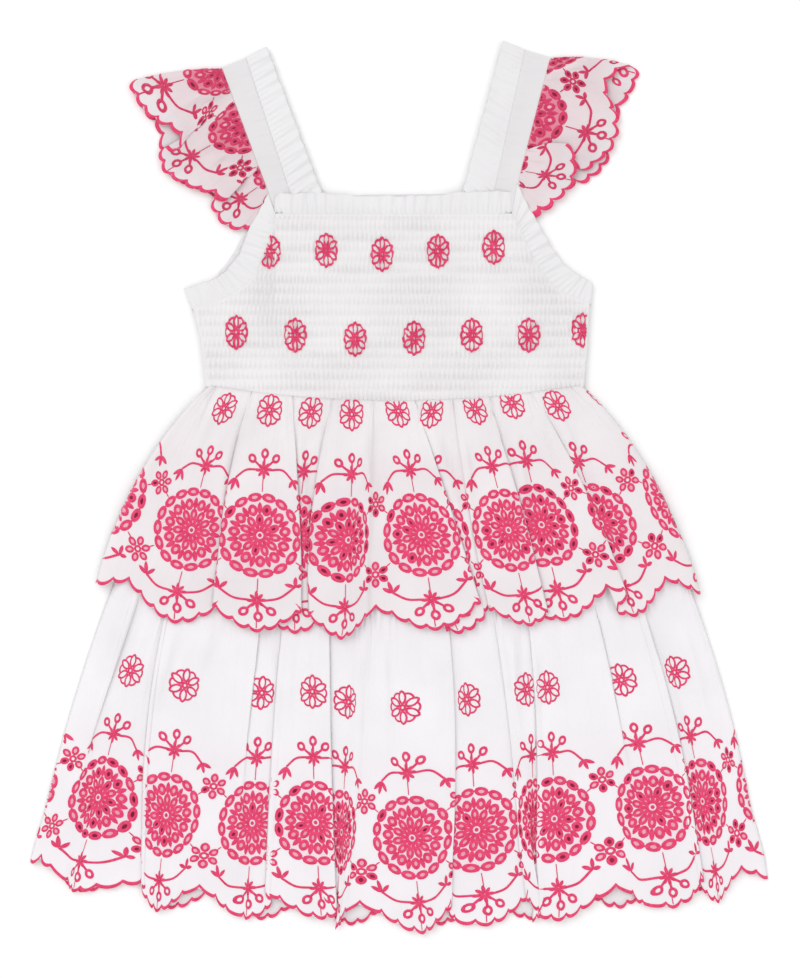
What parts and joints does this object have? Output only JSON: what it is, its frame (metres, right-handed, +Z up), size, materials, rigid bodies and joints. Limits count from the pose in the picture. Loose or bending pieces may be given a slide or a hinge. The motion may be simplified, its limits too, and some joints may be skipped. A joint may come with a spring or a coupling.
{
  "type": "toddler dress",
  "caption": "Sleeveless toddler dress laid flat: shirred bodice, frilled straps, flutter sleeves and a gathered two-tier skirt with scalloped hems.",
  "frame": {"origin": "centre of the dress's outline on the surface it lies on", "axes": "+Y from the hem to the shoulders, +Z up from the back to the front, +X to the viewer's right, which is the wearer's left"},
  "size_m": [0.4436, 0.5387, 0.0113],
  "materials": {
    "lawn": "plain white cotton lawn, matt",
    "shirred": "white cotton lawn gathered on rows of elastic thread, matt",
    "border": "white cotton lawn with a raspberry pink openwork embroidered border, matt with satin thread"
  },
  "bodies": {
    "root": {"front_bodice": "shirred", "back_bodice": "shirred", "front_neck_frill": "lawn", "back_neck_frill": "lawn", "left_strap": "lawn", "left_strap_frill": "lawn", "left_sleeve": "border", "left_armhole_frill": "lawn", "right_strap": "lawn", "right_strap_frill": "lawn", "right_sleeve": "border", "right_armhole_frill": "lawn", "front_tier": "border", "back_tier": "border", "front_skirt": "border", "back_skirt": "border"}
  },
  "joints": []
}
